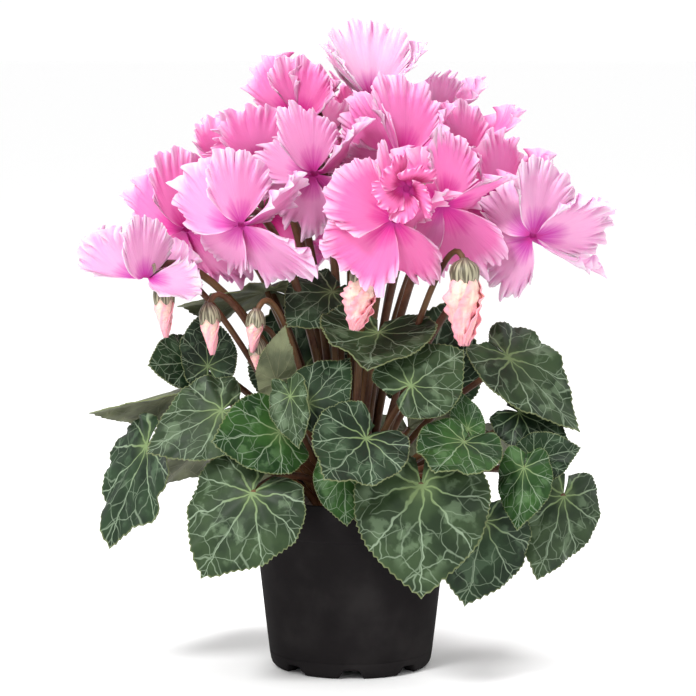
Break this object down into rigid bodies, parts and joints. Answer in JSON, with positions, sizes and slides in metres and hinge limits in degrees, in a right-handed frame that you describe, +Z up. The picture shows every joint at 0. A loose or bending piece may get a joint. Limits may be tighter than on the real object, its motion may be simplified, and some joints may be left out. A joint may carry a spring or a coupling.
{
  "type": "potted cyclamen",
  "caption": "Cyclamen in full bloom in a black nursery pot: a dome of ruffled pink flowers and hanging buds on hooked stalks over toothed, marbled heart-shaped leaves",
  "frame": {"origin": "centre of the pot's underside, on the surface that it stands on", "axes": "+Z up along the pot's axis, -Y towards the viewer of the front, +X to the viewer's right"},
  "size_m": [0.3359, 0.2446, 0.4134],
  "materials": {
    "pot": "black polypropylene, satin, faintly dusty",
    "soil": "dark crumbly potting soil",
    "stalk": "smooth reddish-brown stalk, corky brown corm",
    "leaf": "thick waxy leaf, green with pale veins and silvery patches",
    "petal": "soft matt petal, pink with a magenta base and pale margin",
    "bud": "soft rolled petals, cream to pink"
  },
  "bodies": {
    "root": {"pot": "pot", "soil": "soil", "corm_and_stalks": "stalk", "leaf_01": "leaf", "leaf_02": "leaf", "leaf_03": "leaf", "leaf_04": "leaf", "leaf_05": "leaf", "leaf_06": "leaf", "leaf_07": "leaf", "leaf_08": "leaf", "leaf_09": "leaf", "leaf_10": "leaf", "leaf_11": "leaf", "leaf_12": "leaf", "leaf_13": "leaf", "leaf_14": "leaf", "leaf_15": "leaf", "leaf_16": "leaf", "leaf_17": "leaf", "leaf_18": "leaf", "leaf_19": "leaf", "leaf_20": "leaf", "leaf_21": "leaf", "leaf_22": "leaf", "leaf_23": "leaf", "leaf_24": "leaf", "leaf_25": "leaf", "leaf_26": "leaf", "leaf_27": "leaf", "leaf_28": "leaf", "leaf_29": "leaf", "leaf_30": "leaf", "leaf_31": "leaf", "bloom_01": "petal", "bloom_02": "petal", "bloom_03": "petal", "bloom_04": "petal", "bloom_05": "petal", "bloom_06": "petal", "bloom_07": "petal", "bloom_08": "petal", "bloom_09": "petal", "bloom_10": "petal", "bloom_11": "petal", "bloom_12": "petal", "bloom_13": "petal", "bloom_14": "petal", "bloom_15": "petal", "bloom_16": "petal", "bloom_17": "petal", "bloom_18": "petal", "bloom_19": "petal", "bloom_20": "petal", "bud_01": "bud", "bud_02": "bud", "bud_03": "bud", "bud_04": "bud", "bud_05": "bud", "bud_06": "bud"}
  },
  "joints": []
}
